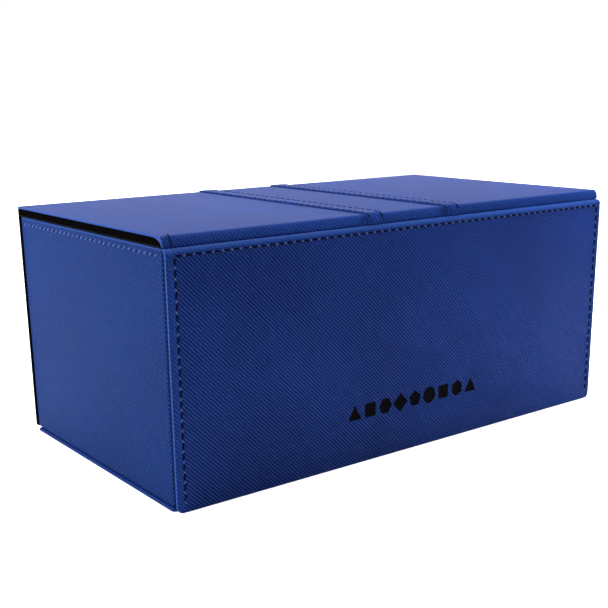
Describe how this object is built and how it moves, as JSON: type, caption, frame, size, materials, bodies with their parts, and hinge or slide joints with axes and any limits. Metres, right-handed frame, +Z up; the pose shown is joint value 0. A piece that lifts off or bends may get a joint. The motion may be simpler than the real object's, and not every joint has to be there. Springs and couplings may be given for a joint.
{
  "type": "miniature carry case",
  "caption": "Long leatherette box with a lid that folds back on a leather spine, a magnetic front flap hung from the lid, and stacked foam trays with pockets for miniatures.",
  "frame": {"origin": "the middle of the footprint, on the surface that the case stands on", "axes": "+Z up, +X along the length of the case to its right end, and the front flap faces -Y"},
  "size_m": [0.265, 0.1466, 0.1157],
  "materials": {
    "leatherette": "satin",
    "black_board": "matte",
    "grey_board": "matte",
    "black_felt": "matte",
    "foam": "matte",
    "nickel": "satin"
  },
  "bodies": {
    "tray": {"base_cover": "leatherette", "floor_board": "black_board", "floor_lining": "black_felt", "left_end_cover": "leatherette", "left_end_board": "grey_board", "left_end_lining": "black_felt", "right_end_cover": "leatherette", "right_end_board": "grey_board", "right_end_lining": "black_felt", "front_wall_cover": "leatherette", "front_wall_board": "grey_board", "front_wall_lining": "black_felt", "wall_magnet_left": "nickel", "wall_magnet_right": "nickel", "rear_wall_board": "black_board", "rear_wall_lining": "black_felt", "back_board": "black_board", "back_cover": "leatherette", "hinge_spine": "leatherette", "lower_foam_base": "foam", "lower_foam_tray": "foam", "upper_foam_base": "foam", "upper_foam_tray": "foam"},
    "lid": {"lid_board": "black_board", "lid_lining": "black_felt", "lid_pad": "foam", "lid_skin_left": "leatherette", "lid_skin_centre": "leatherette", "lid_skin_right": "leatherette", "lid_seam_left": "leatherette", "lid_seam_right": "leatherette"},
    "flap": {"flap_facing": "leatherette", "flap_board": "black_board", "flap_lining": "black_felt", "flap_magnet_left": "nickel", "flap_magnet_right": "nickel"}
  },
  "joints": [
    {"name": "lid_hinge", "type": "hinge", "parent": "tray", "child": "lid", "pos_m": [0, 0.0725, 0.1125], "axis": [-1, 0, 0], "range_deg": [0, 170]},
    {"name": "flap_hinge", "type": "hinge", "parent": "lid", "child": "flap", "pos_m": [0, -0.071, 0.11035], "axis": [-1, 0, 0], "range_deg": [0, 90]}
  ]
}
